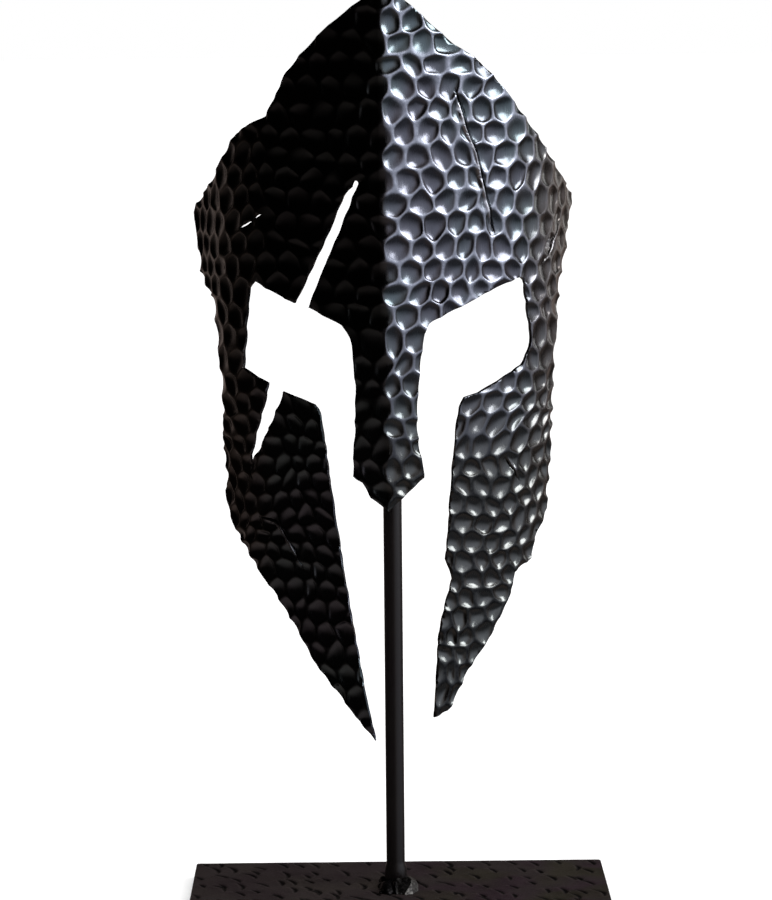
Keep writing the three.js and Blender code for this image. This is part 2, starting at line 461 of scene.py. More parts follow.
@dataclass(frozen=True)
class Score:
    """A cut left by a blade, drawn on the flat sheet.

    Attributes:
        name: What it is called.
        path: Its corners in millimetres, across and up the flat sheet.
        width: How wide it is at its middle.
        depth: How deep it goes; more than the sheet's thickness and it goes right through.
        lip: How proud the burr along its left side stands, seen from the first corner.
        lip_width: Half the width of that burr.
    """

    name: str
    path: tuple[Pair, ...]
    width: float = 0.9 * MM
    depth: float = 1.3 * MM
    lip: float = 0.2 * MM
    lip_width: float = 0.7 * MM
    walls: Pair = (0.3, 0.62)  # its walls lie between these shares of its width from the middle
    fade: float = 6 * MM  # it reaches its whole depth this far from its ends
    lip_fade: float = 16 * MM  # and the burr its whole height
    lip_reach: float = 2.5  # the burr ends this many of its half widths from its middle
    bright_lip: float = 0.4 * MM  # a burr this proud is rubbed quite bright

    @property
    def corners(self) -> tuple[Pair, ...]:
        """Its corners in metres."""
        return tuple((across * MM, up * MM) for across, up in self.path)

    def taper(self, points: np.ndarray, length: float) -> np.ndarray:
        """How much of its strength the score has near points, which is none at its two ends.

        Args:
            points: Rows whose first two columns are across and up the flat sheet.
            length: How far from an end it has its whole strength.

        Returns:
            0 to 1 for each point.
        """
        strength = np.ones(len(points))
        for end in (self.corners[0], self.corners[-1]):
            strength *= smoothstep(0.0, length, np.hypot(*(points[:, :2] - end).T))
        return strength

    def groove(self, points: np.ndarray) -> np.ndarray:
        """How far points lie inside the cut.

        Args:
            points: Rows whose first two columns are across and up the flat sheet.

        Returns:
            0 outside the cut to 1 along its middle.
        """
        gap, _ = distance_to_path(points, self.corners)
        inside = 1.0 - smoothstep(*(share * self.width for share in self.walls), gap)
        return inside * self.taper(points, self.fade)

    def burr(self, points: np.ndarray) -> np.ndarray:
        """How much points belong to the raised lip along the cut's left side.

        Args:
            points: Rows whose first two columns are across and up the flat sheet.

        Returns:
            0 to 1 for each point.
        """
        gap, left = distance_to_path(points, self.corners)
        middle = self.width / 2 + self.lip_width
        near = gap < middle + self.lip_reach * self.lip_width
        lip = np.exp(-(((left - middle) / self.lip_width) ** 2))
        return lip * near * self.taper(points, self.lip_fade)


@dataclass
class HelmetShell:
    """The mask: one sheet of steel, hammered all over, cut out, scored, folded and rolled."""

    thickness: float = 2 * MM
    pitch: float = 14.1 * MM  # between the middles of neighbouring hammer marks
    cheek_share: float = 0.83  # the marks on the cheeks are this much smaller
    cheek_from: float = 300 * MM  # they start to get smaller below this height
    cheek_to: float = 230 * MM
    ridge: float = 1.55 * MM  # from the crest of a ridge to the edge of the dish beside it
    brow: float = 0.2 * MM  # how deep the ridge's shoulder lies, half way there
    dish_edge: float = 0.8 * MM  # how deep the edge of a dish lies
    dish_bowl: float = 0.95 * MM  # how much deeper its middle is
    sag: float = 1.35  # the bowl is drawn this much deeper, because rounding it lifts it again
    first_mark: Pair = (3.4 * MM, 328 * MM)  # the middle of one mark beside the fold
    wander: float = 1.75 * MM  # how far the corners of the marks stray, each on its own
    wander_grain: float = 5.3 * MM  # corners further apart than this stray quite differently
    row_wander: float = 3.3 * MM  # how far whole rows of them stray
    row_length: float = 45 * MM  # a row strays to and fro over about this length
    blow_grain: float = 6.1 * MM  # blows further apart than this fall quite differently
    blow_tilt: float = 0.05  # how steeply they lean
    blow_depth: float = 0.2 * MM  # how much deeper or shallower they go
    blow_size: Pair = (0.97, 0.08)  # the dishes' usual size, and how much it differs
    blow_shift: float = 0.4 * MM  # how far off the middle of their cells they land
    score_steps: tuple[tuple[float, int], ...] = ((2.8 * MM, 1), (1.3 * MM, 2))
    inner_relief: float = 0.6  # how much of the relief comes through to the back
    inner_detail: float = 0.3  # how many of its faces the softer back keeps
    blade_point: float = 0.6  # the end radius of a deep cut, as a share of its middle's
    cutter: Pair = (-7 * MM, 4 * MM)  # how far in and out of the sheet the blank's cutter goes
    rubbed: Pair = (-0.42 * MM, -0.05 * MM)  # from this depth to this one, ridges are rubbed
    margin: float = 10 * MM  # hammered metal round the blank, cut away with it
    seed: int = 7
    section: FoldedSection = field(default_factory=FoldedSection)
    scores: tuple[Score, ...] = (
        Score(
            "forehead slit",
            (
                (66, 359), (64, 369), (59, 387), (55, 403),
                (51.5, 410), (48, 418), (45, 429), (41, 437),
            ),
            width=1.25 * MM,
            depth=1.7 * MM,
            lip=0.55 * MM,
            lip_width=0.85 * MM,
        ),
        Score(
            "temple cut",
            ((131, 365), (125, 358), (118, 353), (116, 349), (107, 341)),
            width=0.7 * MM,
        ),
        Score("cheek cut", ((72, 239), (78, 231), (84, 223)), width=0.7 * MM),
        Score(
            "left cheek scratch",
            ((-53, 179), (-60, 191), (-68, 202), (-71, 204), (-83, 206)),
            width=0.6 * MM,
            depth=0.7 * MM,
        ),
        Score("slash tail", ((-90, 236), (-90, 231), (-88, 225)), width=0.6 * MM),
        Score(
            "temple dash, lower",
            ((-96.5, 362.3), (-92, 364.3), (-87.5, 366.3)),
            width=1.6 * MM,
            depth=9 * MM,
        ),
        Score(
            "temple dash, upper",
            ((-85, 367.5), (-82, 369), (-79, 370.3)),
            width=1.5 * MM,
            depth=9 * MM,
        ),
        Score(
            "slash head",
            ((-18.0, 389.2), (-18.5, 388.3), (-19.3, 386.9), (-21.0, 383.6)),
            width=3.4 * MM,
            depth=9 * MM,
        ),
    )

    def build(self) -> Object:
        """Hammers, cuts, scores and folds the sheet.

        Returns:
            The finished mask.
        """
        deep = [score for score in self.scores if score.depth > self.thickness]
        shallow = [score for score in self.scores if score not in deep]
        blank = self.flat_blank()
        sheet = self.hammer_marks(blank)
        self.round_the_marks(sheet)
        self.press_scores(sheet, shallow)
        self.give_thickness(sheet)
        self.cut(sheet, blank, "INTERSECT")
        self.clean(sheet)
        for score in deep:
            self.cut(sheet, self.blade(score), "DIFFERENCE")
        self.mark_wear(sheet, shallow)
        set_points(sheet, self.section.fold(get_points(sheet)))
        smooth(sheet, 58)
        return sheet

    def flat_blank(self) -> Object:
        """The blank's outline as a thick flat cutter, opened out from the CAD shell.

        Returns:
            A closed block that reaches well in and out of the sheet.
        """
        blank = copy_node("helmet_shell")
        flat = self.section.unfold(get_points(blank))
        flat[:, 2] = np.where(flat[:, 2] > -self.thickness / 2, self.cutter[1], self.cutter[0])
        set_points(blank, flat)
        edit(blank)
        face_outwards()
        leave_edit()
        return blank

    def hammer_marks(self, blank: Object) -> Object:
        """Lays out the hammer marks, one six-sided cell each, in staggered rows over the blank.

        Args:
            blank: The flat cutter; cells well outside it are left out.

        Returns:
            A flat sheet of cells, each with its sunken dish inset.
        """
        row = self.pitch * math.sqrt(3) / 2
        flat = get_points(blank)[:, :2]
        reach = np.abs(flat[:, 0]).max() / self.cheek_share + self.margin
        drop = (self.cheek_from - flat[:, 1].min()) / self.cheek_share + self.margin
        low = np.array((-reach, self.cheek_from - drop))
        high = np.array((reach, flat[:, 1].max() + self.margin))
        step = np.array((self.pitch, 2 * row))
        low = np.floor((low - self.first_mark) / step) * step + self.first_mark
        deselect_all()
        bpy.ops.mesh.primitive_circle_add(
            vertices=6,
            radius=self.pitch / math.sqrt(3),
            fill_type="NGON",
            location=(low[0], low[1], 0.0),
        )
        sheet = bpy.context.object
        bpy.ops.object.transform_apply(location=True, rotation=False, scale=False)
        edit(sheet)
        bpy.ops.mesh.duplicate_move(TRANSFORM_OT_translate={"value": (self.pitch / 2, row, 0.0)})
        leave_edit()
        wide, tall = (math.ceil(count) for count in (high - low) / step)
        repeat(sheet, wide, (self.pitch, 0.0, 0.0))
        repeat(sheet, tall, (0.0, 2 * row, 0.0))
        merge(sheet, 10 * SPECK)
        self.crowd_the_cheeks(sheet)
        tree = BVHTree.FromObject(blank, bpy.context.evaluated_depsgraph_get())
        middles = read_rows(sheet.data.polygons, "center")
        edit_faces(sheet, np.array([tree.find_nearest(at)[3] > self.margin for at in middles]))
        bpy.ops.mesh.delete(type="FACE")
        leave_edit()
        self.stray(sheet)
        edit(sheet)
        bpy.ops.mesh.inset(
            thickness=self.ridge,
            depth=-self.dish_edge,
            use_individual=True,
            use_even_offset=True,
            use_boundary=True,
        )
        leave_edit()
        self.vary_blows(sheet)
        return sheet

    def crowd_the_cheeks(self, sheet: Object) -> None:
        """Draws the rows over the cheeks closer together, where the smith used lighter blows.

        Args:
            sheet: The flat sheet of cells.
        """
        points = get_points(sheet)
        # half a metre down from there, in steps of a millimetre
        heights = np.linspace(self.cheek_from, self.cheek_from - 0.5, 500)
        lower = smoothstep(-self.cheek_from, -self.cheek_to, -heights)
        share = 1.0 - (1.0 - self.cheek_share) * lower
        fall = np.cumsum(share) * (heights[0] - heights[1])
        new = np.interp(self.cheek_from - points[:, 1], self.cheek_from - heights, fall)
        below = points[:, 1] < self.cheek_from
        points[:, 0] *= np.interp(-points[:, 1], -heights, share)
        points[below, 1] = self.cheek_from - new[below]
        set_points(sheet, points)

    def chance(self, place: np.ndarray, grain: float, salt: float) -> np.ndarray:
        """Three numbers of about -1 to 1 that depend only on a place, so that they never change.

        Args:
            place: A point of the flat sheet.
            grain: How far apart places are before their numbers are quite different.
            salt: Sets one use apart from another.

        Returns:
            The three numbers.
        """
        at = Vector((place[0] / grain + salt, place[1] / grain - salt, self.seed + 0.37))
        return np.array(noise.noise_vector(at)) * 1.8  # the noise itself stays within 0.6 or so

    def stray(self, sheet: Object) -> None:
        """Moves the cells' corners a little each, and whole rows slowly to and fro.

        Args:
            sheet: The flat sheet of cells.
        """
        points = get_points(sheet)
        for index, point in enumerate(points.copy()):
            own = self.chance(point, self.wander_grain, 2.7) * self.wander
            row = self.chance(point, self.row_length, 9.1) * self.row_wander
            points[index, :2] += (own + row)[:2]
        set_points(sheet, points)

    def vary_blows(self, sheet: Object) -> None:
        """Gives each dish its own depth, tilt, size and shift, for blows of unequal weight.

        Args:
            sheet: The flat sheet of cells with their dishes.
        """
        points = get_points(sheet)
        usual, differs = self.blow_size
        for face in sheet.data.polygons:
            corners = list(face.vertices)
            if abs(points[corners, 2]).min() < self.dish_edge / 2:
                continue  # a ridge
            middle = points[corners].mean(axis=0)
            tilt_x, tilt_y, deeper = self.chance(middle, self.blow_grain, 17.3)
            shift_x, shift_y, size = self.chance(middle, self.blow_grain, 31.9)
            away = points[corners, :2] - middle[:2]
            sloping = away @ np.array([tilt_x, tilt_y]) * self.blow_tilt
            points[corners, 2] += sloping - deeper * self.blow_depth
            points[corners, :2] = middle[:2] + away * (usual + differs * size)
            points[corners, :2] += np.array([shift_x, shift_y]) * self.blow_shift
        set_points(sheet, points)

    def round_the_marks(self, sheet: Object) -> None:
        """Rounds the marks in two subdivisions, shaping ridges and bowls between the two.

        Args:
            sheet: The flat sheet of cells with their dishes.
        """
        apply_modifier(sheet, "SUBSURF", levels=1, render_levels=1, subdivision_type="SIMPLE")
        points = get_points(sheet)
        depth = points[:, 2]
        spokes = np.zeros(len(points), dtype=int)
        for line in sheet.data.edges:
            spokes[list(line.vertices)] += 1
        # each face has a point at its middle now, where one edge from each of its sides meets
        middles = (spokes >= 5) & (depth < -self.dish_edge * 0.6)
        shoulders = (depth < -self.dish_edge * 0.2) & (depth > -self.dish_edge * 0.66)
        points[shoulders, 2] = -self.brow
        points[middles, 2] -= self.dish_bowl * self.sag
        set_points(sheet, points)
        apply_modifier(sheet, "SUBSURF", levels=1, render_levels=1)
        points = get_points(sheet)
        share = np.clip((-self.dish_edge - points[:, 2]) / self.dish_bowl, 0.0, 1.0)
        bowl = -self.dish_edge - self.dish_bowl * (1.0 - (1.0 - share) ** 2)
        points[:, 2] = np.where(share > 0, bowl, points[:, 2])
        points[:, 2] -= np.quantile(points[:, 2], 0.98)  # the crests come to the outer face
        set_points(sheet, points)

    def press_scores(self, sheet: Object, scores: Sequence[Score]) -> None:
        """Presses scores into the relief and pushes the metal up along their left.

        Args:
            sheet: The rounded relief.
            scores: Those that don't go through.
        """
        for score in scores:
            for reach, cuts in self.score_steps:
                middles = read_rows(sheet.data.polygons, "center")
                gap, _ = distance_to_path(middles, score.corners)
                edit_faces(sheet, gap < reach)
                bpy.ops.mesh.subdivide(number_cuts=cuts, smoothness=0.0)
                leave_edit()
            points = get_points(sheet)
            points[:, 2] += score.burr(points) * (score.lip - points[:, 2])
            points[:, 2] -= score.groove(points) * score.depth
            set_points(sheet, points)

    def give_thickness(self, sheet: Object) -> None:
        """Closes the relief into a slab whose back follows the front more softly.

        Args:
            sheet: The relief with its scores.
        """
        inwards = (0.0, 0.0, -self.thickness)
        edit(sheet)
        bpy.ops.mesh.extrude_region_move(TRANSFORM_OT_translate={"value": inwards})
        bpy.ops.transform.resize(value=(1.0, 1.0, self.inner_relief), center_override=inwards)
        bpy.ops.mesh.decimate(ratio=self.inner_detail)
        face_outwards()
        leave_edit()

    def cut(self, sheet: Object, cutter: Object, operation: str) -> None:
        """Cuts the sheet with another closed mesh, which is used up.

        Args:
            sheet: What is cut.
            cutter: What cuts it.
            operation: INTERSECT keeps the inside, DIFFERENCE the outside.
        """
        apply_modifier(sheet, "BOOLEAN", operation=operation, solver="EXACT", object=cutter)
        bpy.data.objects.remove(cutter)

    def clean(self, sheet: Object) -> None:
        """Merges the specks that a cut leaves where it passes close by a corner.

        Args:
            sheet: The sheet after the cut.
        """
        edit(sheet)
        bpy.ops.mesh.dissolve_degenerate(threshold=SPECK)
        bpy.ops.mesh.remove_doubles(threshold=SPECK)
        leave_edit()

    def blade(self, score: Score) -> Object:
        """The shape that a deep score takes out of the sheet.

        Args:
            score: The score.

        Returns:
            A closed cutter.
        """
        deselect_all()
        bpy.ops.curve.primitive_nurbs_path_add(location=(0.0, 0.0, 0.0))
        blade = bpy.context.object
        blade.data.splines.clear()
        spline = blade.data.splines.new("POLY")
        last = len(score.corners) - 1
        spline.points.add(last)
        for index, (across, up) in enumerate(score.corners):
            spline.points[index].co = (across, up, 0.0, 1.0)
            spline.points[index].radius = self.blade_point if index in (0, last) else 1.0
        blade.data.bevel_depth = score.width / 2
        blade.data.bevel_resolution = 1
        blade.data.use_fill_caps = True
        make_active(blade)
        bpy.ops.object.convert(target="MESH")
        merge(blade, SPECK / 10)
        edit(blade)
        deeper = score.depth / (score.width / 2)
        bpy.ops.transform.resize(value=(1.0, 1.0, deeper), center_override=(0.0, 0.0, 0.0))
        face_outwards()
        leave_edit()
        return blade

    def mark_wear(self, sheet: Object, scores: Sequence[Score]) -> None:
        """Stores where the sheet is rubbed bright, on ridges and burrs, and where painted shade
        blackens the scores.

        Args:
            sheet: The sheet, still flat.
            scores: Those that don't go through; painted shade blackens them inside.
        """
        points = get_points(sheet)
        burr, groove = np.zeros(len(points)), np.zeros(len(points))
        for score in scores:
            bright = min(1.0, score.lip / score.bright_lip)
            burr = np.maximum(burr, score.burr(points) * bright)
            groove = np.maximum(groove, score.groove(points))
        write_attribute(sheet, "ridge", smoothstep(*self.rubbed, points[:, 2]))
        write_attribute(sheet, "burr", burr)
        write_attribute(sheet, "groove", groove)


# ------------------------------------------------------------------ the stand


@dataclass
class Post:
    """The round bar that carries the mask, upset to a short collar at its foot."""

    sides: int = 72
    upset: float = 1.0 * MM  # how much further out the collar stands than the bar
    edge: float = 0.7 * MM  # how far the collar's lower edge is rounded
    swell: Pair = (6.0 * MM, 0.05 * MM)  # the collar is fattest this far up, by this much
    shoulder: tuple[Pair, ...] = (  # heights above the ground, and how far inside the collar, mm
        (15.1, 0.05),
        (17.4, 0.3),
        (18.8, 0.82),
        (20.6, 1.0),
    )
    top: tuple[Pair, ...] = ((1.0, 0.0), (0.3, 0.3), (0.0, 1.0))  # below the top, in the bar, mm

    def rings(self, low: float, high: float, collar: float) -> list[Pair]:
        """The rings that the bar is drawn up through.

        Args:
            low: The height of its foot.
            high: The height of its top.
            collar: The collar's radius.

        Returns:
            The height and radius of each ring above the first.
        """
        bar = collar - self.upset
        up, out = self.swell
        foot = [(low + self.edge * 0.3, collar - self.edge * 0.3), (low + self.edge, collar)]
        shoulder = [(height * MM, collar - inside * MM) for height, inside in self.shoulder]
        top = [(high - down * MM, bar - inside * MM) for down, inside in self.top]
        return foot + [(low + up, collar + out)] + shoulder + top

    def build(self) -> Object:
        """Draws the bar up from its foot, one ring after another, to the size of the CAD post.

        Returns:
            The finished post.
        """
        low, high = box("post")
        middle = (low + high) / 2
        collar = (high[0] - low[0]) / 2
        height, radius = low[2], collar - self.edge
        deselect_all()
        bpy.ops.mesh.primitive_circle_add(
            vertices=self.sides,
            radius=radius,
            fill_type="NGON",
            location=(middle[0], middle[1], height),
        )
        post = bpy.context.object
        bpy.ops.object.transform_apply(location=True, rotation=False, scale=False)
        edit(post)
        for next_height, next_radius in self.rings(low[2], high[2], collar):
            rise = (0.0, 0.0, next_height - height)
            share = next_radius / radius
            bpy.ops.mesh.extrude_region_move(TRANSFORM_OT_translate={"value": rise})
            bpy.ops.transform.resize(
                value=(share, share, 1.0),
                center_override=(middle[0], middle[1], next_height),
            )
            height, radius = next_height, next_radius
        face_outwards()
        leave_edit()
        smooth(post, 50)
        return post


@dataclass
class BasePlate:
    """The steel plate underneath, struck all over with the edge of a hammer."""

    squares: tuple[int, int] = (410, 112)  # of the struck top, finer across than front to back
    corner: float = 2 * MM
    arris: float = 0.4 * MM  # how far the edges are eased
    marks: int = 112
    spacing: float = 8.8 * MM  # how far apart the marks keep
    spacing_squeeze: float = 0.55  # a gap front to back counts for this share of one across
    crowded: float = 0.02  # how often a mark lands nearer all the same
    border: float = 3 * MM  # without the middle of a mark
    lean: Pair = (-68, 9)  # the usual direction of the marks in degrees, and how much it differs
    bow: Pair = (11.0 * MM, 22.0 * MM)  # the radius that they curve on
    mark_length: float = 15 * MM
    length_share: Pair = (0.55, 1.2)
    mark_width: float = 1.4 * MM
    mark_depth: float = 1.0 * MM
    depth_share: Pair = (0.55, 1.0)
    lip_height: float = 0.35 * MM  # of the metal pushed up beside a mark
    lip_place: Pair = (2.1, 1.5)  # how far off and how wide that lip is, in widths of the mark
    waviness: float = 0.09 * MM
    wave: Pair = (14 * MM, 5 * MM)
    flat_edge: float = 1.2 * MM
    nick_shade_from: Pair = (0.12, 0.45)  # painted shade: marks are painted dark where they are deeper than this share
    seed: int = 23

    def build(self) -> Object:
        """Shapes the plate to the size of the CAD one.

        Returns:
            The finished plate, with how deep each point lies in a mark stored as "mark", for the
            painted shade in the marks.
        """
        low, high = box("base_plate")
        half = (high - low) / 2
        deselect_all()
        bpy.ops.mesh.primitive_grid_add(
            x_subdivisions=self.squares[0],
            y_subdivisions=self.squares[1],
            size=1.0,
            location=(0.0, 0.0, 0.0),
        )
        plate = bpy.context.object
        points = get_points(plate)
        points[:, :2] *= 2 * half[:2]
        points[:, 2] = high[2]
        self.round_corners(points, half)
        set_points(plate, points)
        edit(plate, everything=False)
        fall = (0.0, 0.0, low[2] - high[2])
        bpy.ops.mesh.select_mode(type="EDGE")
        bpy.ops.mesh.select_non_manifold()
        bpy.ops.mesh.extrude_region_move(TRANSFORM_OT_translate={"value": fall})
        bpy.ops.mesh.edge_face_add()
        face_outwards()
        bpy.ops.mesh.select_all(action="DESELECT")
        bpy.ops.mesh.edges_select_sharp(sharpness=math.radians(60))
        bpy.ops.mesh.bevel(offset=self.arris, segments=2, affect="EDGES")
        leave_edit()
        self.strike(plate, high[2])
        smooth(plate, 40)
        return plate

    def round_corners(self, points: np.ndarray, half: np.ndarray) -> None:
        """Draws the four square corners of the grid in to small round ones.

        Args:
            points: The grid's points, which are moved.
            half: Half the plate's width, depth and thickness.
        """
        centre = half[:2] - self.corner
        away = np.abs(points[:, :2]) - centre
        at_corner = (away > 0).all(axis=1)
        outward = away[at_corner]
        shrink = outward.max(axis=1) / np.hypot(*outward.T)
        rounded = centre + outward * shrink[:, None]
        points[at_corner, :2] = np.sign(points[at_corner, :2]) * rounded

    def strike(self, plate: Object, top: float) -> None:
        """Sinks the hammer marks: short curved nicks that fall off to the front right.

        Args:
            plate: The plate with its flat top.
            top: The height of that top.
        """
        points = get_points(plate)
        on_top = points[:, 2] > top - 10 * SPECK
        face = points[on_top]
        sink, swell = np.zeros(len(face)), np.zeros(len(face))
        half = np.abs(face[:, :2]).max(axis=0)
        draw = np.random.default_rng(self.seed)
        placed: list[np.ndarray] = []
        while len(placed) < self.marks:
            place = draw.uniform(-1.0, 1.0, 2) * (half - self.border)
            turn = math.radians(draw.normal(*self.lean))
            bow = draw.uniform(*self.bow)
            length = self.mark_length * draw.uniform(*self.length_share)
            strength = draw.uniform(*self.depth_share)
            gaps = [np.hypot(*((place - other) * (1.0, self.spacing_squeeze))) for other in placed]
            if gaps and min(gaps) < self.spacing and draw.uniform() > self.crowded:
                continue
            placed.append(place)
            near = np.hypot(*(face[:, :2] - place).T) < length
            away = face[near, :2] - place
            along = away @ np.array([math.cos(turn), math.sin(turn)])
            aside = away @ np.array([-math.sin(turn), math.cos(turn)])
            arc = aside + along**2 / (2 * bow)
            ends = np.clip(1.0 - (2 * along / length) ** 2, 0.0, 1.0) ** 0.5
            width = self.mark_width * (0.5 + 0.5 * ends)
            off, wide = self.lip_place
            nick = np.exp(-((arc / width) ** 2)) * ends * strength
            lip = np.exp(-(((arc + off * width) / (wide * width)) ** 2)) * ends * strength
            sink[near] = np.maximum(sink[near], nick)
            swell[near] = np.maximum(swell[near], lip)
        for index, point in enumerate(face):
            face[index, 2] += self.waviness * waver(point, *self.wave, fine_share=0.4)
        inside = smoothstep(0.0, self.flat_edge, np.minimum(*(half - np.abs(face[:, :2])).T))
        face[:, 2] += (self.lip_height * swell - self.mark_depth * sink) * inside
        points[on_top] = face
        set_points(plate, points)
        # painted shade: the deep parts of the marks are painted dark
        painted_nick_shade = np.zeros(len(points))
        painted_nick_shade[on_top] = smoothstep(*self.nick_shade_from, sink * inside)
        write_attribute(plate, "mark", painted_nick_shade)


@dataclass
class FootWeld:
    """The weld at the post's foot: a rippled ring and a pool of metal before it.

    The pool's right-hand nugget was ground bright; the rest kept its black scale.
    """

    voxel: float = 0.42 * MM
    ring: Triple = (6.6, 2.0, 0.4)  # its radius, half its thickness and its height, mm
    lumps: tuple[tuple[Triple, Triple], ...] = (  # places from the post's foot, and radii, mm
        ((6.9, -17.0, 0.0), (5.3, 12.2, 7.0)),
        ((0.9, -15.5, 0.0), (4.2, 12.0, 5.2)),
        ((-4.4, -16.0, 0.0), (4.6, 11.5, 4.0)),
        ((-1.0, -7.0, 0.3), (5.5, 3.5, 2.8)),
        ((-7.4, -8.5, 0.0), (2.6, 4.0, 2.2)),
        ((-6.6, 1.5, 0.2), (2.4, 3.4, 3.0)),
        ((6.2, 2.5, 0.2), (2.0, 3.0, 2.4)),
        ((-8.3, -23.5, 0.1), (1.1, 1.6, 1.0)),
        ((12.9, -20.5, 0.1), (0.8, 1.1, 0.8)),
    )
    nugget: Triple = (6.6, -17.0, 0.0)  # the middle of what was ground, from the foot, mm
    flats: tuple[tuple[Triple, float], ...] = (  # which way they face, and how far out they lie
        ((0.35, -0.75, 0.55), 7.6 * MM),
        ((0.85, -0.35, 0.4), 5.2 * MM),
        ((-0.35, -0.5, 0.8), 6.3 * MM),
        ((0.5, 0.1, 0.85), 6.1 * MM),
        ((0.05, -0.96, 0.28), 10.8 * MM),
    )
    ripple: float = 0.448 * MM
    ripple_size: Pair = (3.2 * MM, 1.3 * MM)
    sunk: float = 0.25 * MM  # into the plate
    ground_right: Pair = (-0.3 * MM, 1.2 * MM)  # ground to the right of the post's middle
    ground_before: Pair = (7.5 * MM, 9.5 * MM)  # and in front of it

    def build(self) -> Object:
        """Melts the ring and its lumps together.

        Returns:
            The finished weld, with where it was ground stored as "ground".
        """
        low, high = box("post")
        foot = np.array([(low[0] + high[0]) / 2, (low[1] + high[1]) / 2, low[2]])
        radius, half_thickness, lift = (size * MM for size in self.ring)
        deselect_all()
        bpy.ops.mesh.primitive_torus_add(
            major_segments=64,
            minor_segments=16,
            major_radius=radius,
            minor_radius=half_thickness,
            location=foot + (0.0, 0.0, lift),
        )
        parts = [bpy.context.object]
        for centre, radii in self.lumps:
            bpy.ops.mesh.primitive_uv_sphere_add(
                segments=32,
                ring_count=20,
                radius=1.0,
                location=foot + np.array(centre) * MM,
                scale=tuple(radius * MM for radius in radii),
            )
            parts.append(bpy.context.object)
        weld = join(parts)
        bpy.ops.object.transform_apply(location=True, rotation=True, scale=True)
        apply_modifier(weld, "REMESH", mode="VOXEL", voxel_size=self.voxel)
        self.ripple_and_grind(weld, foot)
        edit(weld)
        bpy.ops.mesh.bisect(
            plane_co=(0.0, 0.0, foot[2] - self.sunk),
            plane_no=(0.0, 0.0, 1.0),
            use_fill=True,
            clear_inner=True,
        )
        face_outwards()
        leave_edit()
        points = get_points(weld)
        right = smoothstep(*self.ground_right, points[:, 0] - foot[0])
        before = smoothstep(*self.ground_before, foot[1] - points[:, 1])
        write_attribute(weld, "ground", right * before)
        smooth(weld, 60)
        return weld

    def ripple_and_grind(self, weld: Object, foot: np.ndarray) -> None:
        """Gives the weld its frozen ripples, and the nugget its flats from the grinder.

        Args:
            weld: The melted shape.
            foot: The middle of the post's foot.
        """
        points = get_points(weld)
        normals = read_rows(weld.data.vertex_normals, "vector")
        for index, point in enumerate(points):
            rise = waver(point, *self.ripple_size, fine_share=0.5) * self.ripple
            points[index] += normals[index] * rise
        middle = foot + np.array(self.nugget) * MM
        for direction, reach in self.flats:
            normal = np.array(direction) / np.linalg.norm(direction)
            proud = (points - middle) @ normal - reach
            on_nugget = (proud > 0) & (points[:, 0] > foot[0])
            points[on_nugget] -= normal * proud[on_nugget, None]
        set_points(weld, points)


@dataclass
class ShellWeld:
    """The weld that holds the mask to the post: two tall rippled beads and what lies between."""

    bead_place: Pair = (6.4 * MM, -2.6 * MM)  # out from the post's middle, and back from there
    bead_radii: Triple = (4.0 * MM, 3.6 * MM, 2.9 * MM)
    bead_lean: float = math.radians(18)
    ripple_pitch: float = 2.4 * MM
    end: float = 3.0 * MM  # the middle of the lowest ripple stands this far up
    core_share: float = 0.94  # the metal between the beads is this much shorter
    core_back: float = 1.6 * MM  # its rear lies this much nearer the sheet
    core_split: float = -1 * MM  # what lies behind here is its rear
    voxel: float = 0.6 * MM
    wave: float = 4.5 * MM
    waviness: float = 0.35 * MM
    sunk: float = 2.6 * MM  # it starts this far behind the sheet's outer face
    section: FoldedSection = field(default_factory=FoldedSection)

    def build(self) -> Object:
        """Lays the beads in the corners between the post and the sheet.

        Returns:
            The finished weld.
        """
        low, high = box("shell_weld")
        core = copy_node("shell_weld")
        points = get_points(core)
        middle = (low + high) / 2
        points[:, 2] = middle[2] + (points[:, 2] - middle[2]) * self.core_share
        points[:, 1] -= np.where(points[:, 1] > self.core_split, self.core_back, 0.0)
        set_points(core, points)
        weld = join([self.bead(-1.0, low[2], high[2]), self.bead(1.0, low[2], high[2]), core])
        apply_modifier(weld, "REMESH", mode="VOXEL", voxel_size=self.voxel)
        apply_modifier(weld, "SMOOTH", factor=0.5, iterations=2)
        points = get_points(weld)
        for index, point in enumerate(points):
            swell = noise.noise_vector(Vector(point) / self.wave)
            points[index] += np.array(swell) * self.waviness
        flat = self.section.unfold(points)
        proud = flat[:, 2] > -self.sunk
        flat[proud, 2] = -self.sunk
        points[proud] = self.section.fold(flat[proud])
        set_points(weld, points)
        smooth(weld, 60)
        return weld

    def bead(self, side: float, low: float, high: float) -> Object:
        """One bead, a row of flattened ripples that overlap.

        Args:
            side: -1 for the one on the left, 1 for the one on the right.
            low: The height of the weld's lower end.
            high: The height of its upper end.

        Returns:
            The bead.
        """
        post_low, post_high = box("post")
        out, back = self.bead_place
        place = ((post_low[0] + post_high[0]) / 2 + side * out, back, low + self.end)
        deselect_all()
        bpy.ops.mesh.primitive_uv_sphere_add(
            segments=28,
            ring_count=16,
            radius=1.0,
            location=place,
            scale=self.bead_radii,
        )
        bead = bpy.context.object
        bpy.ops.object.transform_apply(location=True, rotation=True, scale=True)
        edit(bead)
        bpy.ops.transform.rotate(
            value=side * self.bead_lean,
            orient_axis="Y",
            center_override=place,
        )
        leave_edit()
        ripples = int((high - low - 2 * self.end) / self.ripple_pitch)
        repeat(bead, ripples, (0.0, 0.0, self.ripple_pitch))
        return bead


# ------------------------------------------------------------------ finishes


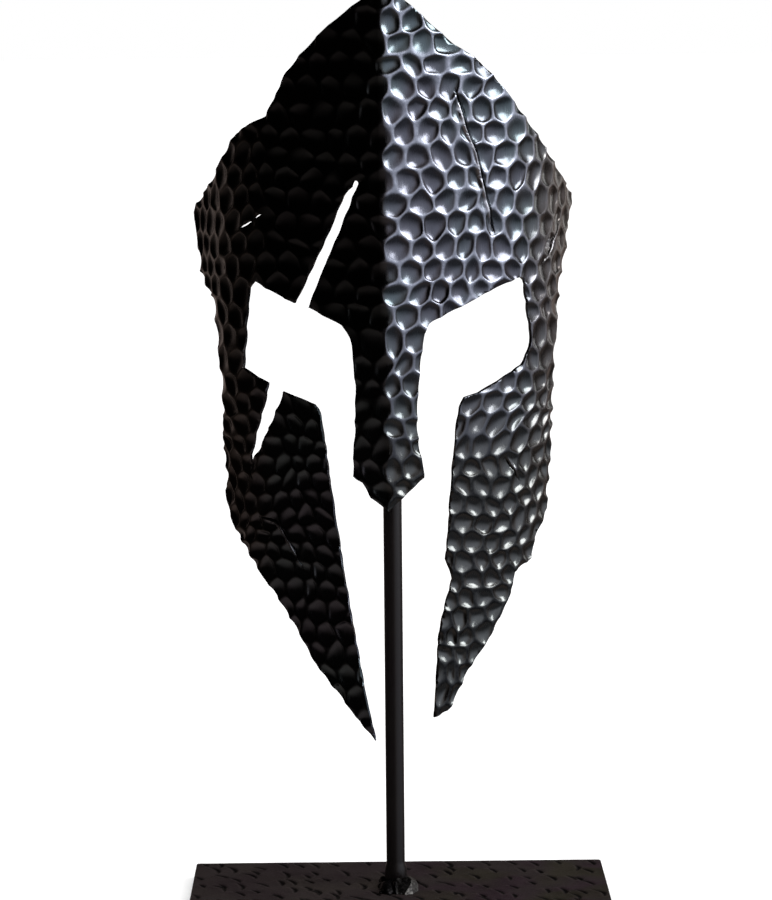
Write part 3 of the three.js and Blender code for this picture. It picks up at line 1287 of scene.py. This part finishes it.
def linear(hex_colour: str) -> tuple[float, float, float, float]:
    """Turns an sRGB hex colour into the linear one that shaders take.

    Args:
        hex_colour: The colour as "#rrggbb".

    Returns:
        Linear red, green and blue, with an alpha of 1.
    """
    channels = [int(hex_colour[start : start + 2], 16) / 255 for start in (1, 3, 5)]
    curve = [c / 12.92 if c <= 0.04045 else ((c + 0.055) / 1.055) ** 2.4 for c in channels]
    return (curve[0], curve[1], curve[2], 1.0)


def add_node(tree: NodeTree, kind: str, inputs: dict | None = None, **settings: object) -> Node:
    """Adds one node with its settings, its values and its links.

    Args:
        tree: The node tree it goes into.
        kind: The node's type, without the leading "ShaderNode".
        inputs: For each input, by name or number, its value, the output socket that feeds it, or
            the node whose first output does.
        **settings: The node's own properties.

    Returns:
        The new node.
    """
    node = tree.nodes.new("ShaderNode" + kind)
    for name, value in settings.items():
        setattr(node, name, value)
    for key, value in (inputs or {}).items():
        if isinstance(value, Node):
            value = value.outputs[0]
        if isinstance(value, NodeSocket):
            tree.links.new(value, node.inputs[key])
        else:
            node.inputs[key].default_value = value
    return node


def new_material(name: str) -> Material:
    """Starts a node material.

    Args:
        name: Its name.

    Returns:
        The material, with no nodes in it yet.
    """
    material = bpy.data.materials.new(name)
    material.use_nodes = True
    material.node_tree.nodes.clear()
    return material


def dress(thing: Object, material: Material) -> None:
    """Gives a piece one material all over."""
    thing.data.materials.clear()
    thing.data.materials.append(material)


# In the finishes and the surroundings below, a ramp is a row of five: what it follows, where it
# starts and ends, and what it gives at its start and at its end, which are a Map Range node's
# inputs 0 to 4. A Mix node's number inputs are 2 and 3; its colours are 6 and 7, and output 2.


@dataclass(frozen=True)
class BlackenedSteel:
    """Sheet steel, hammered, blackened with hot oil, rubbed back along the ridges and lacquered.

    The blackening gives dark, slightly violet or olive dishes with crisp gleams; the rubbed ridges
    between them are a paler, duller grey; fine upright brush lines break up every gleam. Painted
    shade darkens the dishes over the left half of the forehead and over the right cheek, and turns
    the rubbed ridges nearly black over the left half and the cheeks, away from the brown sides.
    """

    dish: str = "#60626b"
    dish_teal: str = "#5c686c"  # in patches
    dish_brown: str = "#68625e"  # at the sides
    ridge: str = "#a1a6b3"
    ridge_brown: str = "#7b7570"
    # painted shade: the rubbed ridges take this colour over the left half and the cheeks, away
    # from the sides
    ridge_painted_shade: str = "#1d1e20"
    burr: str = "#d4d6dc"
    # painted shade: the inside of the shallow scores
    groove: str = "#0c0c0d"
    black: str = "#1a1b1b"  # painted shade: the dishes over the left half of the forehead are painted this dark
    cheek: str = "#595b59"  # painted shade: and the dishes over the right cheek this dark
    left_painted_shade: float = 0.85  # painted shade: how far the dishes are painted towards those colours
    cheek_painted_shade: float = 0.9
    cheek_to_brow: Pair = (235 * MM, 325 * MM)  # the cheeks' look turns to the forehead's here
    left_to_right: Pair = (-8 * MM, -3 * MM)  # and the left half's to the right half's here
    browner: Pair = (62 * MM, 96 * MM)  # how far to the sides the steel turns brown
    tint_patch: float = 55 * MM
    teal_share: Pair = (0.42, 0.6)
    rub_grain: float = 2.5 * MM
    rub_share: Pair = (0.3, 0.65)
    rub_least: float = 0.55  # the ridges are rubbed at least this much
    brush_width: float = 0.5 * MM  # coarser than real brushing, so that it shows
    brush_length: float = 9 * MM
    brush_depth: float = 0.08 * MM
    brush_strength: float = 0.4
    brush_roughness: Pair = (-0.06, 0.1)
    dish_roughness: float = 0.2
    ridge_roughness: float = 0.33
    lacquer: Pair = (0.25, 0.12)  # how much there is, and how rough

    def build(self) -> Material:
        """Builds the material.

        Returns:
            A metal that reads the "ridge", "burr" and "groove" attributes of its mesh.
        """
        material = new_material("blackened_hammered_steel")
        tree = material.node_tree
        place = add_node(tree, "TexCoord").outputs["Object"]
        ridge, burr, groove = (
            add_node(tree, "Attribute", attribute_name=name).outputs["Fac"]
            for name in ("ridge", "burr", "groove")
        )
        strokes = (1 / self.brush_width, 1 / self.brush_width, 1 / self.brush_length)
        brushed = add_node(tree, "Mapping", {"Vector": place, "Scale": strokes})
        rub, patches, lines = (
            add_node(
                tree,
                "TexNoise",
                {"Vector": vector, "Scale": scale, "Detail": detail, "Roughness": roughness},
            )
            for vector, scale, detail, roughness in (
                (place, 1 / self.rub_grain, 3.0, 0.6),
                (place, 1 / self.tint_patch, 2.0, 0.5),
                (brushed, 1.0, 3.0, 0.65),
            )
        )
        apart = add_node(tree, "SeparateXYZ", {0: place})
        sideways, height = apart.outputs["X"], apart.outputs["Z"]
        outwards = add_node(tree, "Math", {0: sideways}, operation="ABSOLUTE")
        ramps = (
            (rub, *self.rub_share, self.rub_least, 1.0),
            (height, *self.cheek_to_brow, 0.0, 1.0),
            # painted shade: the left half darkens up the forehead, the right half down the cheek
            (height, *self.cheek_to_brow, 0.0, self.left_painted_shade),
            (height, *self.cheek_to_brow, self.cheek_painted_shade, 0.0),
            (sideways, *self.left_to_right, 0.0, 1.0),
            (patches, *self.teal_share, 0.0, 1.0),
            (lines, 0.3, 0.7, *self.brush_roughness),
        )
        patchy, brow, shade_left_share, shade_cheek_share, right, teal, uneven = (
            add_node(tree, "MapRange", dict(enumerate(ramp))) for ramp in ramps
        )
        brown = add_node(
            tree,
            "MapRange",
            dict(enumerate((outwards, *self.browner))),
            interpolation_type="SMOOTHSTEP",
        )
        worn = add_node(tree, "Math", {0: ridge, 1: patchy}, operation="MULTIPLY")
        # painted shade: the ridges keep their rubbed grey only on the right half of the forehead
        bright = add_node(tree, "Math", {0: brow, 1: right}, operation="MULTIPLY")
        # painted shade: how dark the dishes are painted, the left half's share left of the fold,
        # the cheek's right of it
        painted_shade_share = add_node(
            tree, "Mix", {0: right, 2: shade_left_share, 3: shade_cheek_share}, data_type="FLOAT"
        )
        colours = []
        # the dishes' painted shade colour, the ridges' colour (painted shade away from the right
        # forehead), the dishes' own
        for start, layers in (
            (self.black, ((right, self.cheek),)),
            (self.ridge_painted_shade, ((bright, self.ridge), (brown, self.ridge_brown))),
            (self.dish, ((teal, self.dish_teal), (brown, self.dish_brown))),
        ):
            colour = linear(start)
            for share, over in layers:
                mix = {0: share, 6: colour, 7: linear(over)}
                colour = add_node(tree, "Mix", mix, data_type="RGBA").outputs[2]
            colours.append(colour)
        # oil is the painted shade colour of the dishes
        oil, ridge_colour, colour = colours
        for share, over in (
            (painted_shade_share, oil),
            (worn, ridge_colour),
            (burr, linear(self.burr)),
            # painted shade inside the scores
            (groove, linear(self.groove)),
        ):
            mix = {0: share, 6: colour, 7: over}
            colour = add_node(tree, "Mix", mix, data_type="RGBA").outputs[2]
        rubbed_roughness = add_node(
            tree,
            "MapRange",
            dict(enumerate((worn, 0.0, 1.0, self.dish_roughness, self.ridge_roughness))),
        )
        roughness = add_node(
            tree, "Math", {0: rubbed_roughness, 1: uneven}, operation="ADD", use_clamp=True
        )
        relief = add_node(
            tree,
            "Bump",
            {"Height": lines, "Strength": self.brush_strength, "Distance": self.brush_depth},
        )
        shader = add_node(
            tree,
            "BsdfPrincipled",
            {
                "Base Color": colour,
                "Metallic": 1.0,
                "Roughness": roughness,
                "Normal": relief,
                "Coat Weight": self.lacquer[0],
                "Coat Roughness": self.lacquer[1],
            },
        )
        add_node(tree, "OutputMaterial", {"Surface": shader})
        return material


@dataclass(frozen=True)
class BlackEnamel:
    """Black enamel brushed on steel, satin, a little uneven, and aged in plum and olive patches.

    It gives a soft broad gleam on the post and nearly none on the plate, whose nicks are painted
    darkest as shade.
    """

    name: str
    colour: str
    # for dark patches at random, and for painted shade in the plate's nicks
    dark: str
    plum: str  # what the old paint has turned to in patches
    olive: str
    roughness: float
    rough_skin: float  # how strongly its fine unevenness shows
    shine: float  # the specular level; clean paint has 0.5
    peel: float = 1.6 * MM
    peel_depth: float = 0.1 * MM
    peel_roughness: Pair = (-0.05, 0.07)
    patch: float = 35 * MM
    patch_share: Pair = (0.45, 0.62)
    patch_offsets: Pair = (0.0, 0.7)  # keep the plum patches apart from the olive ones
    dirt_share: Pair = (0.35, 0.7)
    dirt: float = 0.45  # how dark it gets between the marks
    turned: Pair = (-30 * MM, 50 * MM)  # the patches show mostly to the right of here
    turned_least: float = 0.25

    def build(self) -> Material:
        """Builds the material.

        Returns:
            A paint with dark patches at random, painted darker as shade where the "mark" attribute
            is high.
        """
        material = new_material(self.name)
        tree = material.node_tree
        place = add_node(tree, "TexCoord").outputs["Object"]
        mark = add_node(tree, "Attribute", attribute_name="mark").outputs["Fac"]
        sideways = add_node(tree, "SeparateXYZ", {0: place}).outputs["X"]
        dirt, peel = (
            add_node(
                tree,
                "TexNoise",
                {"Vector": place, "Scale": 1 / size, "Detail": detail, "Roughness": roughness},
            )
            for size, detail, roughness in ((self.patch, 4.0, 0.6), (self.peel, 2.0, 0.5))
        )
        skin = (self.roughness + more for more in self.peel_roughness)
        ramps = (
            (dirt, *self.dirt_share, 0.0, self.dirt),
            (sideways, *self.turned, self.turned_least, 1.0),
            (peel, 0.3, 0.7, *skin),
        )
        shade, turned_side, roughness = (
            add_node(tree, "MapRange", dict(enumerate(ramp))) for ramp in ramps
        )
        colour = linear(self.colour)
        for offset, turned in zip(self.patch_offsets, (self.plum, self.olive)):
            moved = add_node(tree, "Mapping", {"Vector": place, "Location": (offset, offset, 0.0)})
            clouds = add_node(
                tree, "TexNoise", {"Vector": moved, "Scale": 1 / self.patch, "Detail": 1.0}
            )
            share = add_node(tree, "MapRange", dict(enumerate((clouds, *self.patch_share))))
            here = add_node(tree, "Math", {0: share, 1: turned_side}, operation="MULTIPLY")
            mix = {0: here, 6: colour, 7: linear(turned)}
            colour = add_node(tree, "Mix", mix, data_type="RGBA").outputs[2]
        # painted shade in the plate's nicks, together with the random dark patches
        darker = add_node(tree, "Math", {0: mark, 1: shade}, operation="MAXIMUM")
        mix = {0: darker, 6: colour, 7: linear(self.dark)}
        colour = add_node(tree, "Mix", mix, data_type="RGBA").outputs[2]
        relief = add_node(
            tree,
            "Bump",
            {"Height": peel, "Strength": self.rough_skin, "Distance": self.peel_depth},
        )
        shader = add_node(
            tree,
            "BsdfPrincipled",
            {
                "Base Color": colour,
                "Roughness": roughness,
                "IOR": 1.5,
                "Specular IOR Level": self.shine,
                "Normal": relief,
            },
        )
        add_node(tree, "OutputMaterial", {"Surface": shader})
        return material


@dataclass(frozen=True)
class WeldMetal:
    """Weld metal: scaled nearly black as it froze, and bright where the grinder reached it.

    The scale gives a dull, lumpy black; the ground flats scatter the light in short scratches.
    """

    scale: str = "#262526"
    bright: str = "#6b6a68"
    scale_grain: float = 1.7 * MM
    left_share: Pair = (0.38, 0.6)  # the scale that the grinder left behind lies in patches
    left_bright: float = 0.12  # and is this bright
    scratch: float = 0.8 * MM  # coarser than real scratches, so that it shows
    scratch_length: float = 8  # in widths
    scratch_turn: Triple = (0.3, 0.5, 0.9)
    roughness: Pair = (0.5, 0.52)  # of the scale, and of the ground metal
    relief_depth: float = 0.35 * MM
    relief_strength: float = 0.8

    def build(self) -> Material:
        """Builds the material.

        Returns:
            A metal that is bright where the "ground" attribute of its mesh is high.
        """
        material = new_material("weld_metal")
        tree = material.node_tree
        place = add_node(tree, "TexCoord").outputs["Object"]
        ground = add_node(tree, "Attribute", attribute_name="ground").outputs["Fac"]
        along = 1 / (self.scratch_length * self.scratch)
        turned = add_node(
            tree,
            "Mapping",
            {
                "Vector": place,
                "Rotation": self.scratch_turn,
                "Scale": (1 / self.scratch, along, along),
            },
        )
        grain, scratches = (
            add_node(
                tree,
                "TexNoise",
                {"Vector": vector, "Scale": scale, "Detail": detail, "Roughness": 0.6},
            )
            for vector, scale, detail in ((place, 1 / self.scale_grain, 4.0), (turned, 1.0, 3.0))
        )
        patchy = add_node(
            tree, "MapRange", dict(enumerate((grain, *self.left_share, self.left_bright, 1.0)))
        )
        bright = add_node(tree, "Math", {0: ground, 1: patchy}, operation="MULTIPLY")
        mix = {0: bright, 6: linear(self.scale), 7: linear(self.bright)}
        colour = add_node(tree, "Mix", mix, data_type="RGBA").outputs[2]
        roughness = add_node(
            tree, "MapRange", dict(enumerate((bright, 0.0, 1.0, *self.roughness)))
        )
        height = add_node(tree, "Mix", {0: ground, 2: grain, 3: scratches}, data_type="FLOAT")
        relief = add_node(
            tree,
            "Bump",
            {"Height": height, "Strength": self.relief_strength, "Distance": self.relief_depth},
        )
        shader = add_node(
            tree,
            "BsdfPrincipled",
            {"Base Color": colour, "Metallic": 1.0, "Roughness": roughness, "Normal": relief},
        )
        add_node(tree, "OutputMaterial", {"Surface": shader})
        return material


# ------------------------------------------------------------------ studio


@dataclass(frozen=True)
class SoftBox:
    """A rectangular studio light, aimed at the middle of the mask.

    Attributes:
        name: What it is called.
        turn: Degrees round from straight in front, positive to the right.
        rise: Degrees above the middle of the mask.
        distance: From the middle of the mask.
        width: Its width.
        height: Its height.
        radiance: How bright its face is, where 1 is as bright as white paper on the floor.
    """

    name: str
    turn: float
    rise: float
    distance: float
    width: float
    height: float
    radiance: float

    def build(self, target: Vector) -> None:
        """Hangs the light.

        Args:
            target: What it is aimed at.
        """
        turn, rise = math.radians(self.turn), math.radians(self.rise)
        level = math.cos(rise)
        away = Vector((math.sin(turn) * level, -math.cos(turn) * level, math.sin(rise)))
        data = bpy.data.lights.new(self.name, "AREA")
        data.shape = "RECTANGLE"
        data.size, data.size_y = self.width, self.height
        data.energy = self.radiance * math.pi * self.width * self.height
        light = bpy.data.objects.new(self.name, data)
        light.location = target + away * self.distance
        light.rotation_euler = (-away).to_track_quat("-Z", "Y").to_euler()
        light.visible_camera = False
        bpy.context.scene.collection.objects.link(light)


@dataclass
class Studio:
    """The floor, the lights, the surroundings that the steel mirrors, and the camera.

    A direction's rise is its height, and its rear is how far it points behind the object, both as
    shares of its length.
    """

    floor_size: float = 60.0
    floor_colour: str = "#f4f4f4"
    overhead_power: float = 3.9  # watts per square metre
    overhead_spread: float = 120.0  # degrees
    left_dark: float = 0.006  # what the steel mirrors on the left, where black cards stand
    right_grey: float = 0.88  # and on the right, where a white wall stands
    wall_turn: float = 62.0  # where that wall's middle stands, in degrees from straight in front
    wall_edge: Pair = (0.45, 0.92)  # it fades in between these cosines from its middle
    wall_foot: float = 0.06  # how much of the wall's brightness is left low down on it
    wall_foot_rise: Pair = (-0.46, 0.08)
    below: float = 0.16  # how bright the floor close by is
    below_rise: Pair = (-0.04, -0.7)
    below_right: float = 0.4  # how much of that is left under the wall on the right
    behind: float = 0.26  # how bright the wall behind the object is
    behind_rear: Pair = (0.5, 0.95)
    behind_rise: Pair = (0.2, 0.02)
    cool: str = "#eaf0ff"  # the light from the wall on the right
    warm: str = "#ffe6dc"  # the light from everywhere else
    boxes: tuple[SoftBox, ...] = (
        SoftBox("key", turn=74, rise=28, distance=1.7, width=0.8, height=0.8, radiance=9.0),
        SoftBox("rim", turn=132, rise=8, distance=1.9, width=0.35, height=0.8, radiance=1.2),
    )
    camera_place: Triple = (-14.69 * MM, -1950 * MM, 483.67 * MM)
    camera_turn: float = 0.279  # degrees to the right of straight ahead
    camera_fall: float = 6.978  # and below it
    camera_tilt: float = -0.531
    lens: float = 146.67
    sensor: float = 36.0
    clip: Pair = (0.05, 200.0)

    def build(self) -> None:
        """Sets up everything round the object."""
        bpy.context.scene.view_settings.view_transform = "Standard"
        self.lay_floor()
        self.surround()
        self.hang_overhead()
        low, high = (Vector(corner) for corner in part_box("helmet_shell"))
        for softbox in self.boxes:
            softbox.build((low + high) / 2)
        self.set_camera()

    def lay_floor(self) -> None:
        """Lays the pale floor."""
        deselect_all()
        bpy.ops.mesh.primitive_plane_add(size=self.floor_size, location=(0.0, 0.0, 0.0))
        floor = bpy.context.object
        floor.name = floor.data.name = "studio_floor"
        material = new_material("matt_white_floor")
        tree = material.node_tree
        shader = add_node(tree, "BsdfDiffuse", {"Color": linear(self.floor_colour)})
        add_node(tree, "OutputMaterial", {"Surface": shader})
        dress(floor, material)
        floor.visible_glossy = False

    def surround(self) -> None:
        """Surrounds the scene: white behind it, dark to its left and pale to its right."""
        world = bpy.data.worlds.new("studio")
        bpy.context.scene.world = world
        world.use_nodes = True
        tree = world.node_tree
        tree.nodes.clear()
        direction = add_node(tree, "TexCoord").outputs["Generated"]
        parts = add_node(tree, "SeparateXYZ", {0: direction})
        rear, rise = parts.outputs["Y"], parts.outputs["Z"]
        turn = math.radians(self.wall_turn)
        towards = add_node(
            tree,
            "VectorMath",
            {0: direction, 1: (math.sin(turn), -math.cos(turn), 0.0)},
            operation="DOT_PRODUCT",
        ).outputs["Value"]
        ramps = (
            (towards, *self.wall_edge, self.left_dark, self.right_grey),
            (rise, *self.wall_foot_rise, self.wall_foot, 1.0),
            (rise, *self.below_rise, 0.0, self.below),
            (rear, *self.behind_rear, 0.0, self.behind),
            (rise, *self.behind_rise, 0.0, 1.0),
        )
        rightward, foot, floor, behind, behind_top = (
            add_node(
                tree, "MapRange", dict(enumerate(ramp)), interpolation_type="SMOOTHSTEP"
            )
            for ramp in ramps
        )
        spared_ramp = (rightward, 0.0, self.right_grey, 1.0, self.below_right)
        spared = add_node(tree, "MapRange", dict(enumerate(spared_ramp)))
        wall, low_behind, floor_right = (
            add_node(tree, "Math", {0: first, 1: second}, operation="MULTIPLY")
            for first, second in ((rightward, foot), (behind, behind_top), (floor, spared))
        )
        around = add_node(tree, "Math", {0: floor_right, 1: low_behind}, operation="MAXIMUM")
        mirrored = add_node(tree, "Math", {0: wall, 1: around}, operation="ADD")
        seen = add_node(tree, "LightPath").outputs["Is Camera Ray"]
        white = linear("#ffffff")
        mix = {0: rightward, 6: linear(self.warm), 7: linear(self.cool)}
        tint = add_node(tree, "Mix", mix, data_type="RGBA").outputs[2]
        seen_tint = add_node(tree, "Mix", {0: seen, 6: tint, 7: white}, data_type="RGBA")
        strength = add_node(tree, "Mix", {0: seen, 2: mirrored, 3: 1.0}, data_type="FLOAT")
        background = add_node(
            tree, "Background", {"Color": seen_tint.outputs[2], "Strength": strength}
        )
        add_node(tree, "OutputWorld", {"Surface": background})

    def hang_overhead(self) -> None:
        """Hangs the broad overhead light that whitens the floor."""
        data = bpy.data.lights.new("overhead", "SUN")
        data.energy = self.overhead_power
        data.angle = math.radians(self.overhead_spread)
        light = bpy.data.objects.new("overhead", data)
        light.visible_glossy = False
        bpy.context.scene.collection.objects.link(light)

    def set_camera(self) -> None:
        """Stands the camera in front, a little above the mask's middle, looking slightly down."""
        data = bpy.data.cameras.new("camera")
        data.lens, data.sensor_width = self.lens, self.sensor
        data.clip_start, data.clip_end = self.clip
        camera = bpy.data.objects.new("camera", data)
        camera.location = self.camera_place
        turn = Matrix.Rotation(math.radians(-self.camera_turn), 4, "Z")
        fall = Matrix.Rotation(math.radians(90 - self.camera_fall), 4, "X")
        tilt = Matrix.Rotation(math.radians(self.camera_tilt), 4, "Z")
        camera.rotation_euler = (turn @ fall @ tilt).to_euler()
        bpy.context.scene.collection.objects.link(camera)
        bpy.context.scene.camera = camera


def main() -> None:
    """Builds the pieces in order, then the studio, and reports each."""
    logging.basicConfig(level=logging.INFO, format="%(name)s: %(message)s")
    steel = BlackenedSteel().build()
    post_paint = BlackEnamel(
        name="satin_black_enamel",
        colour="#0f0c0c",
        dark="#080606",
        plum="#100b0d",
        olive="#0e0c0b",
        roughness=0.33,
        rough_skin=0.25,
        shine=0.33,
    ).build()
    plate_paint = BlackEnamel(
        name="dull_black_enamel",
        colour="#201b1b",
        dark="#040303",
        plum="#251b20",
        olive="#211e18",
        roughness=0.46,
        rough_skin=1.0,
        shine=0.4,
    ).build()
    weld_metal = WeldMetal().build()
    for name, maker, material, slot, node in (
        ("hammered_mask", HelmetShell(), steel, Slot.HAMMERED_STEEL, "helmet_shell"),
        ("stand_post", Post(), post_paint, Slot.STAND_PAINT, "post"),
        ("stand_plate", BasePlate(), plate_paint, Slot.STAND_PAINT, "base_plate"),
        ("post_foot_weld", FootWeld(), weld_metal, Slot.WELD_METAL, "foot_weld"),
        ("mask_weld", ShellWeld(), weld_metal, Slot.WELD_METAL, "shell_weld"),
    ):
        piece = maker.build()
        dress(piece, material)
        hand_over(piece, name, node)
    Studio().build()


if __name__ == "__main__":
    main()
